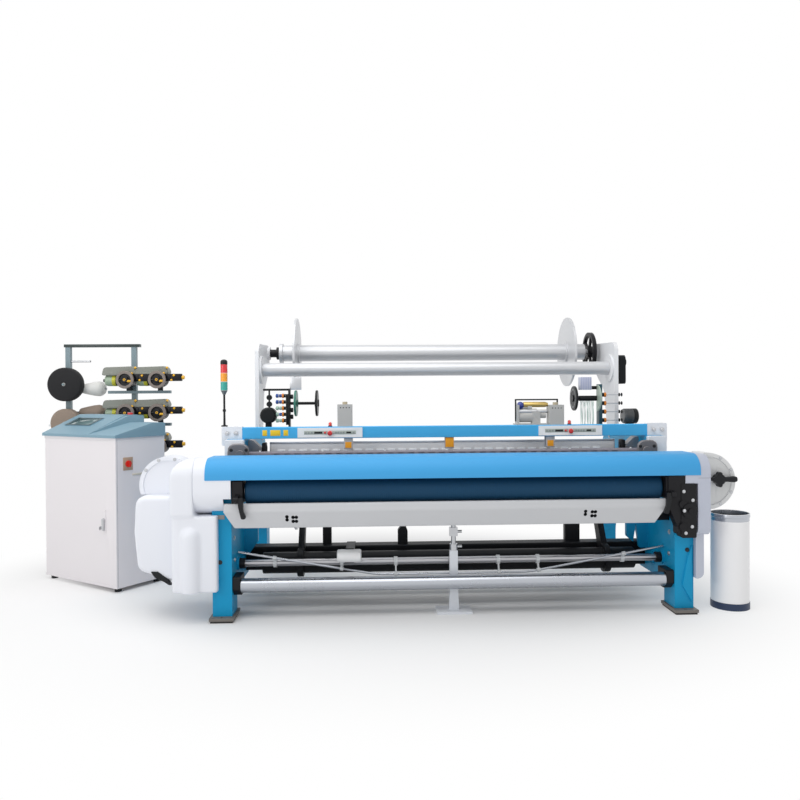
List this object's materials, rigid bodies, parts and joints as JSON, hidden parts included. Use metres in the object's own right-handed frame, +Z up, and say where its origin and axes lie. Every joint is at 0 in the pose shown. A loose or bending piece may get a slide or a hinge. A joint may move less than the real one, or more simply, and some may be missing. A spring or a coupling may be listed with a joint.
{
  "type": "power loom",
  "caption": "Wide terry rapier loom on blue side frames, with breast cover, sley and reed, raised pile beam, white drive covers, control cabinet, weft creel and waste can.",
  "frame": {"origin": "on the floor under the centre stand of the breast beam", "axes": "+X along the loom to its right end as seen by the weaver at the front, +Y to the rear (warp side), +Z up"},
  "size_m": [5.132, 2.017, 2.04],
  "materials": {
    "frame_blue": "satin paint",
    "beam_blue": "satin paint",
    "cover_white": "satin paint",
    "panel_grey": "satin paint",
    "cabinet_grey": "textured powder coat",
    "console_blue": "textured powder coat",
    "dark_steel": "black paint",
    "cast_black": "painted black",
    "ground_steel": "ground and polished",
    "chrome_steel": "bright",
    "plated_steel": "zinc plated",
    "light_alloy": "drawn",
    "teal_rubber": "matt grip covering",
    "pad_rubber": "matt",
    "stop_red": "gloss",
    "switch_red": "gloss",
    "black_plastic": "moulded",
    "panel_white": "moulded",
    "filter_white": "gloss paint",
    "tower_parts": "red, amber and green lamps on a black pole",
    "unit_parts": "mixed small units",
    "creel_paint": "satin paint",
    "feeder_parts": "moulded",
    "yarn": "wound yarn",
    "can_white": "satin paint"
  },
  "bodies": {
    "loom": {"left_side_frame": "frame_blue", "right_side_frame": "frame_blue", "foot_pads": "pad_rubber", "foot_plates": "dark_steel", "top_beam": "beam_blue", "beam_brackets": "cover_white", "signal_panels": "panel_white", "breast_cover": "beam_blue", "left_roller_cover": "cover_white", "breast_panel": "panel_grey", "takeup_left_bearing": "cast_black", "takeup_gearbox": "cast_black", "breast_beam": "dark_steel", "centre_stand": "cover_white", "stand_adjuster": "plated_steel", "cloth_roller_brackets": "cast_black", "pedal_bearings": "cast_black", "rear_girder": "dark_steel", "oil_filter": "filter_white", "temple_rail": "light_alloy", "rapier_guides": "cover_white", "right_post": "cover_white", "left_post": "cover_white", "guide_roller_drive": "dark_steel", "left_drive_housing": "cover_white", "left_wheel_cover": "cover_white", "right_cover": "cover_white", "right_wheel_cover": "cover_white", "signal_tower": "tower_parts", "beam_top_units": "unit_parts", "left_selvedge_unit": "unit_parts", "right_selvedge_unit": "unit_parts", "cabinet_body": "cabinet_grey", "cabinet_console": "console_blue", "creel_stand": "creel_paint", "yarn_packages": "yarn", "weft_feeders": "feeder_parts", "waste_can": "can_white"},
    "takeup": {"takeup_roller": "teal_rubber"},
    "cloth": {"cloth_roller": "chrome_steel"},
    "pedal": {"pedal_shaft": "ground_steel", "foot_bar": "chrome_steel", "pedal_clamps": "plated_steel"},
    "sley": {"rocker_shaft": "dark_steel", "sley_beam": "light_alloy", "reed": "plated_steel"},
    "left_release": {"left_release_lever": "black_plastic"},
    "right_release": {"right_release_lever": "black_plastic"},
    "left_stop": {"left_stop_button": "stop_red"},
    "right_stop": {"right_stop_button": "stop_red"},
    "guide": {"guide_roller": "ground_steel"},
    "pile": {"pile_beam": "ground_steel", "beam_wheel": "cast_black"},
    "ground": {"ground_beam": "ground_steel"},
    "left_leno": {"left_selvedge_disc": "unit_parts"},
    "right_leno": {"right_selvedge_disc": "black_plastic"},
    "hand": {"hand_lever": "black_plastic"},
    "door": {"cabinet_door": "cabinet_grey"},
    "handle": {"door_handle": "plated_steel"},
    "switch": {"main_switch": "switch_red"}
  },
  "joints": [
    {"name": "takeup_spin", "type": "hinge", "parent": "loom", "child": "takeup", "pos_m": [0, -0.015, 0.8], "axis": [1, 0, 0], "continuous": true},
    {"name": "cloth_spin", "type": "hinge", "parent": "loom", "child": "cloth", "pos_m": [0, -0.012, 0.208], "axis": [1, 0, 0], "continuous": true},
    {"name": "pedal_press", "type": "hinge", "parent": "loom", "child": "pedal", "pos_m": [0, 0.142, 0.312], "axis": [1, 0, 0], "range_deg": [0, 12], "stiffness_Nm_per_rad": 40, "springref_deg": -8.59},
    {"name": "sley_swing", "type": "hinge", "parent": "loom", "child": "sley", "pos_m": [0, 0.3, 0.276], "axis": [1, 0, 0], "range_deg": [-5, 6]},
    {"name": "left_release_turn", "type": "hinge", "parent": "loom", "child": "left_release", "pos_m": [-1.34, -0.148, 0.764], "axis": [1, 0, 0], "range_deg": [-70, 0]},
    {"name": "right_release_turn", "type": "hinge", "parent": "loom", "child": "right_release", "pos_m": [1.34, -0.148, 0.764], "axis": [1, 0, 0], "range_deg": [-70, 0]},
    {"name": "left_stop_press", "type": "slide", "parent": "loom", "child": "left_stop", "axis": [0, 1, 0], "range_m": [0, 0.005], "stiffness_N_per_m": 600, "springref_m": -0.001},
    {"name": "right_stop_press", "type": "slide", "parent": "loom", "child": "right_stop", "axis": [0, 1, 0], "range_m": [0, 0.005], "stiffness_N_per_m": 600, "springref_m": -0.001},
    {"name": "guide_spin", "type": "hinge", "parent": "loom", "child": "guide", "pos_m": [0, 1.18, 1.596], "axis": [1, 0, 0], "continuous": true},
    {"name": "pile_beam_spin", "type": "hinge", "parent": "loom", "child": "pile", "pos_m": [0, 1.56, 1.748], "axis": [1, 0, 0], "continuous": true},
    {"name": "ground_beam_spin", "type": "hinge", "parent": "loom", "child": "ground", "pos_m": [0, 1.48, 0.56], "axis": [1, 0, 0], "continuous": true},
    {"name": "left_leno_spin", "type": "hinge", "parent": "loom", "child": "left_leno", "pos_m": [-1, 0.87, 1.335], "axis": [1, 0, 0], "continuous": true},
    {"name": "right_leno_spin", "type": "hinge", "parent": "loom", "child": "right_leno", "pos_m": [1.05, 0.87, 1.357], "axis": [1, 0, 0], "continuous": true},
    {"name": "hand_lever_turn", "type": "hinge", "parent": "loom", "child": "hand", "pos_m": [1.684, -0.04, 0.842], "axis": [0, 1, 0], "range_deg": [-90, 90]},
    {"name": "door_open", "type": "hinge", "parent": "loom", "child": "door", "pos_m": [-3.02123, 1.09851, 0.56], "axis": [0, 0, 1], "range_deg": [-110, 0]},
    {"name": "handle_turn", "type": "hinge", "parent": "door", "child": "handle", "pos_m": [-2.43829, 0.69102, 0.505], "axis": [0.5592, 0.829, 0], "range_deg": [0, 90]},
    {"name": "switch_turn", "type": "hinge", "parent": "loom", "child": "switch", "pos_m": [-2.27596, 0.70456, 0.912], "axis": [0.829, -0.5592, 0], "range_deg": [0, 90]}
  ]
}
